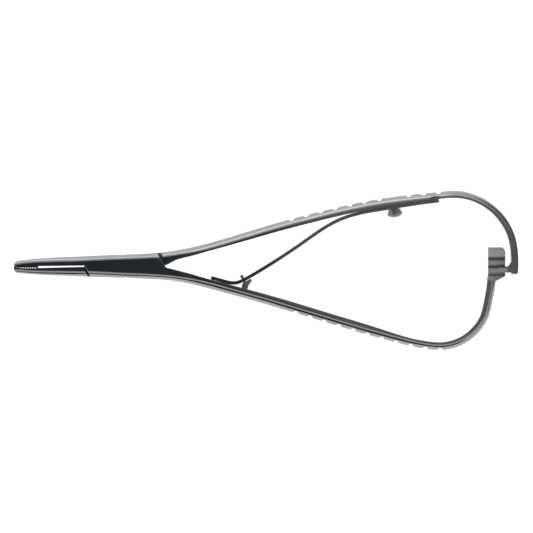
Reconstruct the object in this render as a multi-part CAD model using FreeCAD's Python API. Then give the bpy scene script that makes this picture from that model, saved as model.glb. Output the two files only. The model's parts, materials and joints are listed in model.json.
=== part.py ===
# Spring-handled needle holder with a box lock and a hooked end ratchet.
# It lies flat on its side, jaws shut and ratchet caught. All sizes are in millimetres.
# The origin is on the pivot axis, at the face it lies on. +X runs towards the handle ends,
# +Y towards the upper handle, and +Z up from the face it lies on.

import FreeCAD, Part
import math
import os

from FreeCAD import Vector

# Whole instrument
BODY_WIDTH = 6.2          # thickness of the box and of both handles, along the pivot axis
JAW_LENGTH = 37.3         # pivot to the tip of the jaws
OPENING_ANGLE = 15.0      # widest opening, in degrees

# Section of the bars: flat sides and a crowned outer face
CROWN_TIP = 0.9           # height of the crown over its edges, at the tip of the jaws
CROWN_BOX = 1.35          # the same at the box
CROWN_HANDLE = 2.1        # and along the handles, which are almost half-round
CROWN_BOW = 1.75
CROWN_UPPER_END = 0.6     # the handles flatten towards their ends
CROWN_LOWER_END = 1.1
END_FLAT = 6.0            # length at a handle's end over which its crown no longer changes
CROWN_FLAT_COUNT = 7      # the crown is ground in this many narrow flats

# Jaws
TIP_WIDTH = 3.6           # thickness of the jaws at their tip, along the pivot axis
TIP_HEIGHT = 2.45         # height of the upper jaw over the pivot line, behind the tip's round
TIP_DEPTH = 2.75          # depth of the lower jaw under the pivot line, behind the tip's round
TIP_ROUND = 1.7           # round of the tip's outer corners
JAW_LINE = 0.6            # the closed faces of the jaws lie this far under the pivot line
GRIP_LENGTH = 8.3         # serrated length of the jaw faces
JAW_GAP = 0.03            # clearance between the closed jaw faces
RELIEF_TOP = 0.2          # upper edge of the relief gap at the box, over the pivot line
RELIEF_HEIGHT = 0.42      # gap between the jaws behind their faces, at the box
RELIEF_TIP_TOP = 0.02     # upper edge of the gap at its front end, over the pivot line
SERRATION_PITCH = 0.8
SERRATION_DEPTH = 0.2

# Box lock
BOX_HALF_HEIGHT = 4.0     # pivot to the outer edge of the box
CHEEK = 2.05              # thickness of each wall of the box
TONGUE_GAP = 0.05         # clearance of the tongue to each wall
TONGUE_RADIUS = 3.45      # round of the tongue about the pin
BOX_FRONT = 13.7          # pivot to the front corner of the box, at the pivot line
BOX_REAR = 13.8           # pivot to the rear corner of the box, at the pivot line
BOX_SLANT = 0.62          # lean of both ends of the box back towards the pivot, per height
SHOULDER_GAP = 0.08       # gap between the box and a shoulder at its tight end
SHOULDER_LEAN = 0.1       # how much more a shoulder leans than the box, per height
STOP_MARGIN = 1.0         # degrees of free turn left in the box at the widest opening
PIN_DIAMETER = 2.6
PIN_CLEARANCE = 0.04      # radial clearance of the pin in the tongue

# Handles: points on the outer line of each handle between the box and the bow
UPPER_LINE = [(10.6, 4.5), (16.0, 5.15), (21.4, 6.15), (32.2, 8.9), (48.4, 13.8),
              (64.6, 18.15), (86.0, 22.75)]
LOWER_LINE = [(10.6, 4.45), (16.0, 4.9), (21.4, 5.85), (32.2, 8.55), (48.4, 13.1),
              (70.0, 19.65), (91.6, 25.8)]
UPPER_BOW_RADIUS = 22.05
UPPER_BOW_SIDE = 25.55    # the upper handle reaches this far from the pivot line
UPPER_BOW_END = 132.85    # and this far from the pivot along the instrument
LOWER_BOW_RADIUS = 18.2
LOWER_BOW_SIDE = 28.4
LOWER_BOW_END = 124.3
NECK_LEAN = 1.1           # the lower bow runs this far outwards between its side and the ratchet

# Thickness of the handles in the plane that they open in
UPPER_ROOT = 3.35
UPPER_WAIST = 2.65
UPPER_GRIP = 3.0
UPPER_BOW = 2.45
UPPER_END = 2.45
LOWER_ROOT = 3.85
LOWER_WAIST = 3.1
LOWER_GRIP = 3.4
LOWER_BOW = 2.65
LOWER_END = 2.9

# Grip grooves
GROOVE_COUNT = 11
GROOVE_PITCH = 5.05
UPPER_GROOVE_START = 57.9 # first groove, along a handle's outer line from the pivot
LOWER_GROOVE_START = 59.2
GROOVE_TOP = 2.2
GROOVE_FLOOR = 0.8
GROOVE_DEPTH = 0.7
PLAIN_LAND_NUMBER = 7     # the upper handle has no groove here, where its screw sits

# Ratchet on the end of the lower handle, and the pawl over it
TOOTH_PITCH = 2.65
TOOTH_HEIGHT = 0.9
TOOTH_DROP = 0.5          # length of the steep flank, along the ratchet
TOOTH_COUNT = 3
TOOTH_ENTRY = 3.3         # end of the block to the first crest
BLOCK_TOP = 6.4           # end of the block over the pivot line
BLOCK_FOOT = 3.4          # foot of its outer side under the pivot line
BLOCK_WIDTH = 5.75
BLOCK_OVERHANG = 3.1      # the block stands out this far from the neck
BLOCK_THICKNESS = 3.3     # the crests of the teeth lie at this height
BLOCK_ROUND = 1.6
PAWL_WIDTH = 2.05
PAWL_REACH = 2.5          # how far the pawl lies over the teeth
PAWL_GAP = 0.05           # clearance of the seated pawl
PAWL_ROOT_ROUND = 1.4     # round between the pawl and the upper handle
HANDLE_END = 0.5          # the upper handle ends this far past the pawl
HANDLE_END_ROUND = 0.7    # round of its outer corner there

# Leaf spring
LEAF_THICKNESS = 1.15
LEAF_WIDTH = 5.0
LEAF_SEAT_GAP = 0.05      # clearance to the upper handle, which carries it
LEAF_FOOT_GAP = 0.12      # clearance to the lower handle, on which it slides
LEAF_TOE = 29.1           # X of the leaf's toe
LEAF_BEND = 37.4          # X at which its foot and its free run would meet in a corner
LEAF_BEND_RADIUS = 6.0
LEAF_RUN = [(43.0, -3.1), (51.1, 1.85), (59.2, 7.25), (66.0, 12.0), (71.4, 15.15)]
LEAF_SEAT = 78.5          # X at which it meets the upper handle
LEAF_HELD = 27.5          # length along X that lies on the upper handle
LEAF_SLOT_LENGTH = 9.5
LEAF_SLOT_WIDTH = 2.2
LEAF_SLOT_SPARE = 0.8     # free slot behind the keeper with the handles shut
EAR_THICKNESS = 0.5
EAR_LENGTH = 2.4
EAR_HEIGHT = 0.95
EAR_GAP = 0.03

# Screw of the leaf spring
SCREW_STATION = 90.9      # along X
SCREW_SHANK = 2.5
SCREW_COLLAR = 4.2
SCREW_COLLAR_HEIGHT = 0.8
SCREW_HEAD = 5.1
SCREW_HEAD_HEIGHT = 2.0
SCREW_SLOT_WIDTH = 0.7
SCREW_SLOT_DEPTH = 0.9
SCREW_DEPTH = 1.8         # depth of its hole in the handle
LEAF_HOLE_CLEARANCE = 0.1

# Keeper
KEEPER_STATION = 40.2     # X of its neck, where it passes through the leaf
KEEPER_POST = 2.1
KEEPER_THICKNESS = 1.8
KEEPER_TOP = 3.0          # length of the face under the leaf
KEEPER_NECK = 0.8
KEEPER_KNOB = 1.15
KEEPER_GAP = 0.12         # clearance to the leaf
KEEPER_PEG = 1.4
KEEPER_PEG_DEPTH = 1.6

UPPER_BOW_CENTRE = (UPPER_BOW_END - UPPER_BOW_RADIUS, UPPER_BOW_SIDE - UPPER_BOW_RADIUS)
LOWER_BOW_CENTRE = (LOWER_BOW_END - LOWER_BOW_RADIUS, LOWER_BOW_RADIUS - LOWER_BOW_SIDE)
FAR = 60.0                # reaches past the instrument on every side
STRAIGHT_ABOVE = 12.0     # past the outer edge of the box
BEYOND = 0.4              # a cutter or blank passes a flat side by this much


def flat(x, y, z=0.0):
    return Vector(x, y, z)


def interpolated(points):
    curve = Part.BSplineCurve()
    curve.interpolate([flat(x, y) for x, y in points])
    return curve


def on_circle(radius, degrees, centre=(0.0, 0.0)):
    angle = math.radians(degrees)
    return centre[0] + radius * math.cos(angle), centre[1] + radius * math.sin(angle)


def arc_points(centre, radius, start, end, count):
    step = (end - start) / (count - 1)
    return [on_circle(radius, start + step * i, centre) for i in range(count)]


def line(a, b):
    return Part.makeLine(flat(*a), flat(*b))


def arc(a, b, c):
    return Part.Arc(flat(*a), flat(*b), flat(*c)).toShape()


def lines(points):
    return [line(a, b) for a, b in zip(points, points[1:])]


def prism(edges, bottom, top):
    """Solid over a closed outline of edges, between two heights."""
    face = Part.Face(Part.Wire(Part.__sortEdges__(edges)))
    solid = face.extrude(Vector(0, 0, top - bottom))
    solid.translate(Vector(0, 0, bottom))
    return solid


def full_prism(edges):
    return prism(edges, -1.0, BODY_WIDTH + 1.0)


class Rail:
    """The outer line of one side of the instrument, from the jaw's tip to the handle's end."""

    def __init__(self, points, side):
        self.curve = interpolated(points)
        self.side = side
        self.first = self.curve.FirstParameter
        self.length = self.curve.length(self.first, self.curve.LastParameter)
        over_pivot = self.curve.parameter(flat(0, side * BOX_HALF_HEIGHT))
        self.origin = self.curve.length(self.first, over_pivot)

    def place(self, station):
        """Point, direction and outward normal at a distance along the line from the pivot."""
        u = self.curve.parameterAtDistance(station + self.origin, self.first)
        along = self.curve.tangent(u)[0]
        outward = flat(-along.y * self.side, along.x * self.side)
        return self.curve.value(u), along, outward

    def station_at(self, x):
        """Distance along the line at which it reaches an X before the bow."""
        low, high = -self.origin, (self.length - self.origin) * 0.7
        for _ in range(50):
            middle = (low + high) / 2
            if self.place(middle)[0].x < x:
                low = middle
            else:
                high = middle
        return (low + high) / 2


def upper_rail():
    jaw = [(-JAW_LENGTH - 1.5, TIP_HEIGHT - 1.05), (-JAW_LENGTH + 6.0, TIP_HEIGHT),
           (-JAW_LENGTH * 0.5, BOX_HALF_HEIGHT - 0.8), (0.0, BOX_HALF_HEIGHT)]
    bow = arc_points(UPPER_BOW_CENTRE, UPPER_BOW_RADIUS, 100, 0, 8)
    end_x = UPPER_BOW_CENTRE[0] + UPPER_BOW_RADIUS
    end_y = pawl_top() - PAWL_WIDTH - HANDLE_END
    return Rail(jaw + UPPER_LINE + bow + [(end_x, end_y / 2), (end_x - 0.3, end_y - 1.5)], 1)


def lower_rail():
    jaw = [(-JAW_LENGTH - 1.5, -TIP_DEPTH + 0.75), (-JAW_LENGTH + 6.0, -TIP_DEPTH),
           (-JAW_LENGTH * 0.5, -BOX_HALF_HEIGHT + 0.65), (0.0, -BOX_HALF_HEIGHT)]
    handle = [(x, -y) for x, y in LOWER_LINE]
    bow = arc_points(LOWER_BOW_CENTRE, LOWER_BOW_RADIUS, -100, -4, 7)
    side_x = LOWER_BOW_CENTRE[0] + LOWER_BOW_RADIUS
    neck = [(side_x + NECK_LEAN * 0.75, -BLOCK_FOOT - 3.6), (side_x + NECK_LEAN, -BLOCK_FOOT)]
    return Rail(jaw + handle + bow + neck, -1)


def crest(index):
    """Y of a crest of the ratchet, counted from the block's end."""
    return BLOCK_TOP - TOOTH_ENTRY - index * TOOTH_PITCH


def pawl_top():
    """Y of the pawl's catching face, seated in the last notch."""
    return crest(TOOTH_COUNT - 2) - TOOTH_DROP - PAWL_GAP


def bar_section(rail, station, half_width, rise, depth):
    """Blank section across the rail, crowned outwards, before its flat sides are ground."""
    point, _, outward = rail.place(station)
    radius = (half_width ** 2 + rise ** 2) / (2 * rise)
    half_angle = math.degrees(math.asin(half_width / radius))
    crown = arc_points((-radius, 0.0), radius, half_angle, -half_angle, CROWN_FLAT_COUNT + 1)
    slope = (crown[1][0] - crown[0][0]) / (crown[0][1] - crown[1][1])
    shoulder = crown[0][0] - BEYOND * slope
    side = half_width + BEYOND
    section = [(shoulder, side)] + crown[1:-1] + [(shoulder, -side), (-depth, -side), (-depth, side)]
    middle = BODY_WIDTH / 2
    corners = [point + outward * u + Vector(0, 0, middle + z) for u, z in section]
    return Part.makePolygon(corners + corners[:1])


def crown_law(rail):
    """Height of the crown along a rail, as pairs of station and height."""
    bow = rail.station_at(UPPER_BOW_CENTRE[0] if rail.side > 0 else LOWER_BOW_CENTRE[0])
    end = CROWN_UPPER_END if rail.side > 0 else CROWN_LOWER_END
    return [(rail.station_at(-JAW_LENGTH), CROWN_TIP), (rail.station_at(-BOX_FRONT), CROWN_BOX),
            (rail.station_at(BOX_REAR), CROWN_BOX), (rail.station_at(BOX_REAR * 2.2), CROWN_HANDLE),
            (bow - 12.0, CROWN_HANDLE), (bow + 6.0, CROWN_BOW),
            (rail.length - rail.origin - END_FLAT, end)]


def blended(law, station):
    """Value of a law at a station, easing from each of its pairs to the next."""
    if station <= law[0][0]:
        return law[0][1]
    for (s0, v0), (s1, v1) in zip(law, law[1:]):
        if station <= s1:
            share = (station - s0) / (s1 - s0)
            return v0 + (v1 - v0) * share * share * (3 - 2 * share)
    return law[-1][1]


def half_width_at(x):
    """Half of the thickness along the pivot axis: full from the box on, tapered along the jaws."""
    share = max((-BOX_FRONT - x) / (JAW_LENGTH - BOX_FRONT), 0.0)
    return (BODY_WIDTH - share * (BODY_WIDTH - TIP_WIDTH)) / 2


def flat_sides():
    """Block seen from the side: the flat sides of the whole instrument, with its tapered jaws."""
    middle = BODY_WIDTH / 2
    tip = -JAW_LENGTH - 2.0
    side = [(tip, half_width_at(tip)), (-BOX_FRONT, middle), (JAW_LENGTH + 2 * UPPER_BOW_END, middle)]
    around = [(x, middle + z) for x, z in side] + [(x, middle - z) for x, z in reversed(side)]
    wire = Part.makePolygon([Vector(x, -2 * FAR, z) for x, z in around + around[:1]])
    return Part.Face(wire).extrude(Vector(0, 4 * FAR, 0))


def bar(rail, depth=5.2, sections=80):
    """The crowned bar that follows a rail from the jaw's tip to the handle's end."""
    law = crown_law(rail)
    stations = [rail.length * i / sections - rail.origin for i in range(sections + 1)]
    wires = [bar_section(rail, s, half_width_at(rail.place(s)[0].x), blended(law, s), depth)
             for s in stations]
    return Part.makeLoft(wires, True, True).common(flat_sides())


def handle_law(rail, root, waist, grip, bow, end):
    """Thickness of a handle along its rail, as pairs of station and thickness."""
    side = rail.station_at(UPPER_BOW_CENTRE[0] if rail.side > 0 else LOWER_BOW_CENTRE[0])
    first = rail.station_at(BOX_REAR)
    return [(first, root), (first + 14.0, waist), (UPPER_GROOVE_START, grip), (side - 20.0, grip),
            (side, bow), (rail.length - rail.origin, end)]


def inner_line(rail, law, start, end, count=26):
    """Points on a handle's inner face: its outer line, moved in by its thickness."""
    points = []
    for i in range(count + 1):
        station = start + (end - start) * i / count
        point, _, outward = rail.place(station)
        inner = point - outward * blended(law, station)
        points.append((inner.x, inner.y))
    return points


def tangent_degrees(point, radius, turn):
    """Direction from the pivot in which a line from the point touches a round about the pivot."""
    away = (math.degrees(math.atan2(point[1], point[0])) + 90) % 360 - 90
    return away + turn * math.degrees(math.acos(radius / math.hypot(*point)))


class Outline:
    """In-plane points that both halves share, worked out from the driving dimensions."""

    def __init__(self):
        self.up = upper_rail()
        self.low = lower_rail()
        self.upper_law = handle_law(self.up, UPPER_ROOT, UPPER_WAIST, UPPER_GRIP, UPPER_BOW, UPPER_END)
        self.lower_law = handle_law(self.low, LOWER_ROOT, LOWER_WAIST, LOWER_GRIP, LOWER_BOW, LOWER_END)
        self.front = (-BOX_FRONT, RELIEF_TOP)
        upper_start = self.up.station_at(BOX_REAR + 3.0)
        lower_start = self.low.station_at(BOX_REAR + 3.0)
        upper_end = self.up.length - self.up.origin
        lower_end = self.low.length - self.low.origin
        self.upper_inner = inner_line(self.up, self.upper_law, upper_start, upper_end)
        self.lower_inner = inner_line(self.low, self.lower_law, lower_start, lower_end)
        self.crotch = (BOX_REAR + 0.6, 0.5)
        self.rear = (BOX_REAR + 0.3 * BOX_SLANT, -0.45)
        slot = TONGUE_RADIUS + TONGUE_GAP
        self.front_end = tangent_degrees(self.front, slot, -1)
        self.rear_end = tangent_degrees(self.rear, slot, -1)

    def box_front(self, y):
        """X of the box's front end at a height."""
        return -BOX_FRONT - BOX_SLANT * (y - RELIEF_TOP)

    def box_rear(self, y):
        """X of the box's rear end at a height."""
        return BOX_REAR - BOX_SLANT * y

    def front_shoulder(self, y):
        """X of the lower jaw's shoulder at a height."""
        return self.box_front(y) - SHOULDER_GAP + SHOULDER_LEAN * (y - RELIEF_TOP)

    def rear_shoulder(self, y):
        """X of the upper handle's shoulder at a height."""
        return self.box_rear(y) + SHOULDER_GAP + SHOULDER_LEAN * y


def jaw_tip(rail, face_y):
    """Edges of a jaw's rounded tip, from its face to its outer edge, and the outer end point."""
    side = rail.side
    outer = rail.place(rail.station_at(-JAW_LENGTH + TIP_ROUND))[0].y
    corner = (-JAW_LENGTH, outer - side * TIP_ROUND)
    centre = (-JAW_LENGTH + TIP_ROUND, outer - side * TIP_ROUND)
    middle = on_circle(TIP_ROUND, 180 - side * 45, centre)
    end = (-JAW_LENGTH + TIP_ROUND, outer)
    return [line((-JAW_LENGTH, face_y), corner), arc(corner, middle, end)], end


def jaw_face(side, back):
    """Edges of a jaw's inner side, from the back of its relief to the tip, and its face's Y."""
    face = -JAW_LINE + side * JAW_GAP / 2
    relief_start = -JAW_LENGTH + GRIP_LENGTH
    if side > 0:
        step = (relief_start, RELIEF_TIP_TOP)
        round_middle = (relief_start - 0.2, (face + step[1]) / 2)
        round_edge = [arc(step, round_middle, (relief_start, face))]
    else:
        step = (relief_start, face)
        round_edge = []
    return [line(back, step)] + round_edge + [line((relief_start, face), (-JAW_LENGTH, face))], face


def serrations(side):
    """Cross grooves that a jaw's face is cut with."""
    cuts = []
    face = -JAW_LINE + side * JAW_GAP / 2
    count = int(GRIP_LENGTH / SERRATION_PITCH) - 1
    half = SERRATION_PITCH * 0.4
    for i in range(count):
        x = -JAW_LENGTH + (i + 1) * SERRATION_PITCH
        mouth = face - side * 0.01
        points = [(x - half, mouth), (x, face + side * SERRATION_DEPTH), (x + half, mouth)]
        cuts.append(full_prism(lines(points + points[:1])))
    return cuts


def grooves(rail, start, skipped=()):
    """Trapezoid cutters across the crown of a handle."""
    cuts = []
    for i in range(GROOVE_COUNT):
        if i in skipped:
            continue
        point, along, outward = rail.place(start + i * GROOVE_PITCH)
        slope = (GROOVE_TOP - GROOVE_FLOOR) / 2 / GROOVE_DEPTH
        over = 1.0
        half_over = GROOVE_TOP / 2 + slope * over
        shape = [(-half_over, over), (-GROOVE_FLOOR / 2, -GROOVE_DEPTH),
                 (GROOVE_FLOOR / 2, -GROOVE_DEPTH), (half_over, over)]
        placed = [point + along * a + outward * n for a, n in shape]
        corners = [(p.x, p.y) for p in placed]
        cuts.append(full_prism(lines(corners + corners[:1])))
    return cuts


def ratchet_block(shape):
    """The block on the lower handle's end, with its teeth across the upper face."""
    right = shape.low.place(shape.low.length - shape.low.origin)[0].x + BLOCK_OVERHANG
    left = right - BLOCK_WIDTH
    slope_foot = (right - BLOCK_OVERHANG, -BLOCK_FOOT - 1.6)
    round_start = (right, BLOCK_TOP - BLOCK_ROUND)
    round_end = (right - BLOCK_ROUND, BLOCK_TOP)
    round_middle = on_circle(BLOCK_ROUND, 45, (right - BLOCK_ROUND, BLOCK_TOP - BLOCK_ROUND))
    edges = lines([round_end, (left, BLOCK_TOP), (left, slope_foot[1]), slope_foot,
                   (right, -BLOCK_FOOT), round_start])
    edges.append(arc(round_start, round_middle, round_end))
    block = prism(edges, 0.0, BLOCK_THICKNESS)
    root = BLOCK_THICKNESS - TOOTH_HEIGHT
    over = BLOCK_THICKNESS + 1.0
    for i in range(TOOTH_COUNT):
        start = crest(i - 1) if i else BLOCK_TOP + 1.0
        start_z = BLOCK_THICKNESS if i else root
        foot = crest(i) + TOOTH_PITCH - TOOTH_DROP
        profile = [(crest(i), BLOCK_THICKNESS), (foot, root), (start, start_z),
                   (start, over), (crest(i), over)]
        wire = Part.makePolygon([Vector(left - 1, y, z) for y, z in profile + profile[:1]])
        block = block.cut(Part.Face(wire).extrude(Vector(BLOCK_WIDTH + 2, 0, 0)))
    return block, right


def pawl(shape, block_right):
    """The finger of the upper handle, with the tooth under it that sits in the last notch."""
    inner_side = shape.upper_inner[-1][0]
    wall = inner_side + 1.0
    tip = block_right - PAWL_REACH
    top = pawl_top()
    foot = top - PAWL_WIDTH
    half = PAWL_WIDTH / 2
    low_z = BLOCK_THICKNESS + PAWL_GAP
    root = PAWL_ROOT_ROUND
    root_start = (inner_side, top + root)
    root_end = (inner_side - root, top)
    root_middle = on_circle(root, -45, (inner_side - root, top + root))
    edges = lines([(tip + half, foot), (wall, foot), (wall, top + root), root_start])
    edges += [arc(root_start, root_middle, root_end), line(root_end, (tip + half, top))]
    edges.append(arc((tip + half, top), (tip, top - half), (tip + half, foot)))
    finger = prism(edges, low_z, BODY_WIDTH)
    slope = TOOTH_HEIGHT / (TOOTH_PITCH - TOOTH_DROP)
    low = BLOCK_THICKNESS - TOOTH_HEIGHT + PAWL_GAP
    profile = [(top, low), (top, low_z), (foot, low_z), (foot, low + slope * PAWL_WIDTH)]
    wire = Part.makePolygon([Vector(tip, y, z) for y, z in profile + profile[:1]])
    tooth = Part.Face(wire).extrude(Vector(PAWL_REACH, 0, 0))
    nose = prism(edges, 0.0, BODY_WIDTH)
    return finger.fuse(tooth.common(nose))


def box_half(shape):
    """Upper jaw, box, lower handle and ratchet block: one forging."""
    face_edges, face = jaw_face(1, shape.front)
    tip_edges, tip_end = jaw_tip(shape.up, face)
    outside = STRAIGHT_ABOVE
    corner = (shape.box_front(0), 0.0)
    back = (shape.box_rear(0), 0.0)
    upper = face_edges + tip_edges
    upper += lines([tip_end, (tip_end[0], outside), (shape.box_rear(outside), outside),
                    back, corner, shape.front])
    top = bar(shape.up).common(full_prism(upper))
    last = shape.lower_inner[-1]
    inner = interpolated([shape.rear] + shape.lower_inner).toShape()
    lower = lines([corner, back, shape.rear]) + [inner]
    lower += lines([last, (last[0] + 20.0, last[1]), (last[0] + 20.0, -FAR),
                    (shape.box_front(-outside), -FAR),
                    (shape.box_front(-outside), -outside), corner])
    bottom = bar(shape.low).common(full_prism(lower))
    block, block_right = ratchet_block(shape)
    solid = top.fuse([bottom, block])
    front_out = on_circle(8.0, shape.front_end)
    rear_out = on_circle(8.0, shape.rear_end)
    slot_radius = TONGUE_RADIUS + TONGUE_GAP
    slot = lines([shape.front, on_circle(slot_radius, shape.front_end), front_out,
                  (20.0, front_out[1]), (20.0, 1.5), shape.rear,
                  on_circle(slot_radius, shape.rear_end), rear_out,
                  (-16.0, rear_out[1]), (-16.0, -1.5), shape.front])
    solid = solid.cut(prism(slot, CHEEK, BODY_WIDTH - CHEEK))
    solid = solid.cut(pin_cylinder(0.0))
    solid = solid.cut(grooves(shape.low, LOWER_GROOVE_START) + serrations(1))
    return solid, block_right


def pin_cylinder(clearance):
    return Part.makeCylinder(PIN_DIAMETER / 2 + clearance, BODY_WIDTH)


def shank_half(shape, block_right):
    """Lower jaw, tongue, upper handle and pawl: one forging."""
    outside = STRAIGHT_ABOVE
    relief_floor = RELIEF_TOP - RELIEF_HEIGHT
    back = (shape.front_shoulder(relief_floor), relief_floor)
    face_edges, face = jaw_face(-1, back)
    tip_edges, tip_end = jaw_tip(shape.low, face)
    jaw_outline = face_edges + tip_edges
    jaw_outline += lines([tip_end, (tip_end[0], -outside),
                          (shape.front_shoulder(-outside), -outside), back])
    jaw = bar(shape.low).common(full_prism(jaw_outline))

    end_y = pawl_top() - PAWL_WIDTH - HANDLE_END
    inner_points = [p for p in shape.upper_inner if p[0] < UPPER_BOW_CENTRE[0] or p[1] > end_y + 0.2]
    last = inner_points[-1]
    inner = interpolated([shape.crotch] + inner_points).toShape()
    corner = (UPPER_BOW_END - HANDLE_END_ROUND, end_y + HANDLE_END_ROUND)
    corner_arc = [on_circle(HANDLE_END_ROUND, a, corner) for a in (-90, -45, 0)]
    handle_outline = [inner, arc(*corner_arc)]
    handle_outline += lines([last, (last[0], end_y), corner_arc[0]])
    handle_outline += lines([corner_arc[2], (last[0] + 20.0, corner[1]), (last[0] + 20.0, FAR),
                             (shape.rear_shoulder(outside), FAR), (shape.rear_shoulder(outside), outside),
                             (shape.rear_shoulder(shape.crotch[1]), shape.crotch[1]), shape.crotch])
    handle = bar(shape.up).common(full_prism(handle_outline))

    radius = TONGUE_RADIUS
    start = tangent_degrees(back, radius, -1)
    stop = shape.front_end - OPENING_ANGLE - STOP_MARGIN
    start_rear = tangent_degrees(shape.crotch, radius, -1)
    stop_rear = shape.rear_end - OPENING_ANGLE - STOP_MARGIN
    root = shape.upper_inner[0]
    tongue = lines([(back[0] - 1.0, back[1] - 0.02), back, on_circle(radius, start)])
    tongue += [arc(*[on_circle(radius, a) for a in (start, (start + stop) / 2, stop)])]
    tongue += lines([on_circle(radius, stop), on_circle(8.0, stop), (root[0], 8.0), root, shape.crotch,
                     on_circle(radius, start_rear)])
    rear_stops = (start_rear, (start_rear + stop_rear) / 2, stop_rear)
    tongue += [arc(*[on_circle(radius, a) for a in rear_stops])]
    tongue += lines([on_circle(radius, stop_rear), on_circle(8.0, stop_rear), (back[0] - 1.0, -8.0),
                     (back[0] - 1.0, back[1] - 0.02)])
    layer = prism(tongue, CHEEK + TONGUE_GAP, BODY_WIDTH - CHEEK - TONGUE_GAP)
    over_pivot = Part.makeBox(2 * FAR, FAR, BODY_WIDTH, Vector(-FAR, 0, 0))
    under_pivot = Part.makeBox(2 * FAR, FAR, BODY_WIDTH, Vector(-FAR, -FAR, 0))
    upper_tongue = layer.common(over_pivot).common(bar(shape.up))
    lower_tongue = layer.common(under_pivot).common(bar(shape.low))
    solid = handle.fuse([jaw, upper_tongue, lower_tongue, pawl(shape, block_right)])
    solid = solid.cut(pin_cylinder(PIN_CLEARANCE))
    return solid.cut(grooves(shape.up, UPPER_GROOVE_START, skipped=(PLAIN_LAND_NUMBER,)) + serrations(-1))


def inner_place(rail, law, x):
    """Point on a handle's inner face at an X, with the face's direction and inward normal."""
    low, high = rail.station_at(x) - 6.0, rail.station_at(x) + 6.0
    for _ in range(50):
        middle = (low + high) / 2
        point, along, outward = rail.place(middle)
        face = point - outward * blended(law, middle)
        if face.x < x:
            low = middle
        else:
            high = middle
    return face, along, outward * -1


class Leaf:
    """Middle line of the leaf spring, from its toe on the lower handle to its tail on the upper."""

    def __init__(self, shape):
        self.half = LEAF_THICKNESS / 2
        lift = LEAF_FOOT_GAP + self.half
        drop = LEAF_SEAT_GAP + self.half
        toe, _, inward = inner_place(shape.low, shape.lower_law, LEAF_TOE)
        toe = toe + inward * lift
        bend, _, inward = inner_place(shape.low, shape.lower_law, LEAF_BEND)
        bend = bend + inward * lift
        way_in = (bend - toe).normalize()
        way_out = (flat(*LEAF_RUN[0]) - bend).normalize()
        turn = way_in.getAngle(way_out)
        reach = LEAF_BEND_RADIUS * math.tan(turn / 2)
        centre = bend - way_in * reach + flat(-way_in.y, way_in.x) * LEAF_BEND_RADIUS
        start = math.degrees(math.atan2(-way_in.x, way_in.y))
        points = [toe, (toe + bend - way_in * reach) * 0.5]
        bent = arc_points(centre, LEAF_BEND_RADIUS, start, start + math.degrees(turn), 5)
        points += [flat(*p) for p in bent + LEAF_RUN]
        for i in range(6):
            x = LEAF_SEAT + LEAF_HELD * i / 5
            seat, _, inward = inner_place(shape.up, shape.upper_law, x)
            points.append(seat + inward * drop)
        self.curve = interpolated([(p.x, p.y) for p in points])
        self.length = self.curve.length(self.curve.FirstParameter, self.curve.LastParameter)

    def place(self, station):
        """Point, direction and normal towards the upper handle, at a distance from the toe."""
        on_leaf = min(max(station, 0.0), self.length)
        u = self.curve.parameterAtDistance(on_leaf, self.curve.FirstParameter)
        along = self.curve.tangent(u)[0]
        return self.curve.value(u) + along * (station - on_leaf), along, flat(-along.y, along.x)

    def station_at(self, x):
        low, high = 0.0, self.length
        for _ in range(50):
            middle = (low + high) / 2
            if self.place(middle)[0].x < x:
                low = middle
            else:
                high = middle
        return low

    def strip(self, start, end, under, over):
        """Closed outline along the leaf, between two distances from its middle line."""
        count = max(4, int((end - start) / 2.0))
        low, high = [], []
        for i in range(count + 1):
            point, _, normal = self.place(start + (end - start) * i / count)
            low.append(point + normal * under)
            high.append(point + normal * over)
        low = [(p.x, p.y) for p in low]
        high = [(p.x, p.y) for p in high]
        sides = [interpolated(low).toShape(), interpolated(high).toShape()]
        return sides + [line(low[0], high[0]), line(low[-1], high[-1])]

    def ears(self, gap):
        """The two ears at the tail, or with a gap the notches that they sit in."""
        start = self.length - EAR_LENGTH - gap
        end = self.length + gap
        over = self.half + LEAF_SEAT_GAP + EAR_HEIGHT + gap
        under = self.half if gap else 0.0
        outline_edges = self.strip(start, end, under, over)
        return [prism(outline_edges, 0.0, EAR_THICKNESS + gap),
                prism(outline_edges, BODY_WIDTH - EAR_THICKNESS - gap, BODY_WIDTH)]


def leaf_spring(shape, leaf):
    """The leaf, with its slot for the keeper, its screw hole and its two ears."""
    side = (BODY_WIDTH - LEAF_WIDTH) / 2
    blank = prism(leaf.strip(0.0, leaf.length, -leaf.half, leaf.half), 0.0, BODY_WIDTH)
    margin = leaf.strip(-1.0, leaf.length - EAR_LENGTH, -LEAF_THICKNESS, LEAF_THICKNESS)
    body = blank.cut([prism(margin, -1.0, side), prism(margin, BODY_WIDTH - side, BODY_WIDTH + 1.0)])
    body = body.fuse(leaf.ears(0.0))
    neck = leaf.station_at(KEEPER_STATION)
    slot_end = neck + KEEPER_NECK / 2 + LEAF_SLOT_SPARE
    middle = BODY_WIDTH / 2
    slot = prism(leaf.strip(slot_end - LEAF_SLOT_LENGTH, slot_end, -1.0, 1.0),
                 middle - LEAF_SLOT_WIDTH / 2, middle + LEAF_SLOT_WIDTH / 2)
    return body.cut([slot, screw_cylinder(shape, LEAF_HOLE_CLEARANCE)])


def screw_cylinder(shape, clearance, height=LEAF_THICKNESS + 1.0):
    """The screw's shank, from the floor of its hole in the handle through the leaf."""
    seat, _, inward = inner_place(shape.up, shape.upper_law, SCREW_STATION)
    base = seat - inward * SCREW_DEPTH + Vector(0, 0, BODY_WIDTH / 2)
    return Part.makeCylinder(SCREW_SHANK / 2 + clearance, SCREW_DEPTH + height, base, inward)


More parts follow.
